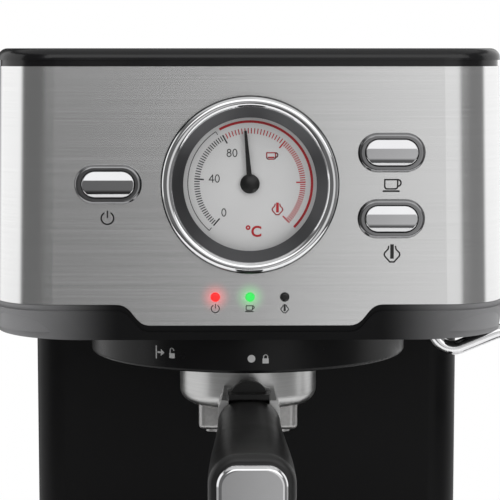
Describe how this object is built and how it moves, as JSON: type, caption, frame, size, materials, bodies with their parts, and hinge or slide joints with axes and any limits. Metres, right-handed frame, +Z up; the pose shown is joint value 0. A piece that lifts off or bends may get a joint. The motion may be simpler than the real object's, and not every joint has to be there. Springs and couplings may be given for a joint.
{
  "type": "espresso machine",
  "caption": "Pump espresso machine with a gauge in a steel front, push buttons, twist-in filter holder, swinging steam wand, sliding drip tray and lift-out water tank.",
  "frame": {"origin": "On the table, in the middle plane, below the front face of the column.", "axes": "+X right as seen from the front, -Y towards the person using it, +Z up."},
  "size_m": [0.2384, 0.3468, 0.3137],
  "materials": {
    "black_plastic": "satin moulded plastic",
    "gloss_black": "gloss moulded plastic",
    "brushed_steel": "brushed along the width",
    "chrome": "bright plated",
    "screw_steel": "plain zinc plated steel",
    "bowl_steel": "satin polished",
    "cast_aluminium": "satin cast",
    "clear_lens": "clear",
    "dial_face": "matt light grey with printed scale",
    "needle_black": "matt black",
    "inner_plastic": "plain moulded plastic",
    "red_lens": "lit clear plastic",
    "green_lens": "lit clear plastic",
    "dark_lens": "unlit smoked plastic",
    "seal_rubber": "moulded rubber",
    "copper_tube": "drawn copper tube",
    "valve_brass": "turned brass",
    "handle_black": "satin heat-proof plastic",
    "tray_plastic": "satin moulded plastic",
    "tank_clear": "clear smoked plastic",
    "pump_body": "laminated iron and plastic",
    "silicone": "clear silicone",
    "ptfe": "white drawn tube",
    "board_green": "laminate board with relays"
  },
  "bodies": {
    "machine": {"base_screws": "screw_steel", "base_shell": "black_plastic", "bayonet_ring": "cast_aluminium", "boiler_base": "cast_aluminium", "boiler_bolts": "screw_steel", "boiler_lid": "cast_aluminium", "bottom_cover": "black_plastic", "button_surrounds": "chrome", "capillary_tube": "copper_tube", "column_shell": "black_plastic", "control_board": "board_green", "cord_gland": "inner_plastic", "cup_plate": "brushed_steel", "front_panel": "brushed_steel", "gauge_bezel": "chrome", "gauge_case": "inner_plastic", "gauge_dial": "dial_face", "gauge_lens": "clear_lens", "group_gasket": "seal_rubber", "group_head": "cast_aluminium", "group_skirt": "black_plastic", "lower_trim": "black_plastic", "panel_frame": "inner_plastic", "power_lamp": "red_lens", "pressure_hose": "ptfe", "pump": "pump_body", "pump_mounts": "seal_rubber", "ready_lamp": "green_lens", "rear_cover": "black_plastic", "rubber_feet": "seal_rubber", "screen_screw": "screw_steel", "shower_screen": "bowl_steel", "steam_lamp": "dark_lens", "steam_pipes": "copper_tube", "steam_valve": "valve_brass", "suction_hose": "silicone", "switch_bodies": "inner_plastic", "tank_dock": "inner_plastic", "thermostats": "inner_plastic", "top_cover": "gloss_black", "wand_socket": "inner_plastic"},
    "power_button": {"power_button": "chrome"},
    "coffee_button": {"coffee_button": "chrome"},
    "steam_button": {"steam_button": "chrome"},
    "gauge_needle": {"gauge_needle": "needle_black"},
    "portafilter": {"portafilter_body": "bowl_steel", "filter_basket": "bowl_steel", "double_spout": "cast_aluminium", "handle_grip": "handle_black", "handle_cap": "chrome", "clip_pin": "screw_steel"},
    "thumb_clip": {"thumb_clip": "handle_black"},
    "steam_knob": {"steam_knob": "handle_black"},
    "steam_wand": {"wand_tube": "chrome", "wand_grip": "handle_black", "froth_nozzle": "chrome"},
    "water_tank": {"water_tank": "tank_clear"},
    "tank_lid": {"tank_lid": "gloss_black"},
    "drip_tray": {"drip_tray": "tray_plastic"},
    "drip_grid": {"drip_grid": "brushed_steel"}
  },
  "joints": [
    {"name": "power_button_press", "type": "slide", "parent": "machine", "child": "power_button", "axis": [0, 1, 0], "range_m": [0, 0.0025], "stiffness_N_per_m": 300},
    {"name": "coffee_button_press", "type": "slide", "parent": "machine", "child": "coffee_button", "axis": [0, 1, 0], "range_m": [0, 0.0025], "stiffness_N_per_m": 300},
    {"name": "steam_button_press", "type": "slide", "parent": "machine", "child": "steam_button", "axis": [0, 1, 0], "range_m": [0, 0.0025], "stiffness_N_per_m": 300},
    {"name": "needle_turn", "type": "hinge", "parent": "machine", "child": "gauge_needle", "pos_m": [0, -0.125, 0.2595], "axis": [0, 1, 0], "range_deg": [-134.2, 139.4]},
    {"name": "portafilter_twist", "type": "hinge", "parent": "machine", "child": "portafilter", "pos_m": [0, -0.045, 0.19], "axis": [0, 0, 1], "range_deg": [-45, 0]},
    {"name": "thumb_clip_flip", "type": "hinge", "parent": "portafilter", "child": "thumb_clip", "pos_m": [0, -0.0845, 0.1647], "axis": [-1, 0, 0], "range_deg": [0, 20]},
    {"name": "steam_knob_turn", "type": "hinge", "parent": "machine", "child": "steam_knob", "pos_m": [0.1035, 0.04, 0.2616], "axis": [1, 0, 0], "range_deg": [0, 180]},
    {"name": "wand_swing", "type": "hinge", "parent": "machine", "child": "steam_wand", "pos_m": [0.0825, -0.035, 0.193], "axis": [0, 0, 1], "range_deg": [-90, 40]},
    {"name": "tank_lift", "type": "slide", "parent": "machine", "child": "water_tank", "axis": [0, 0, 1], "range_m": [0, 0.26]},
    {"name": "tank_lid_hinge", "type": "hinge", "parent": "water_tank", "child": "tank_lid", "pos_m": [0, 0.1398, 0.3076], "axis": [-1, 0, 0], "range_deg": [0, 95]},
    {"name": "drip_tray_slide", "type": "slide", "parent": "machine", "child": "drip_tray", "axis": [0, -1, 0], "range_m": [0, 0.115]},
    {"name": "drip_grid_lift", "type": "slide", "parent": "drip_tray", "child": "drip_grid", "axis": [0, 0, 1], "range_m": [0, 0.03]}
  ]
}
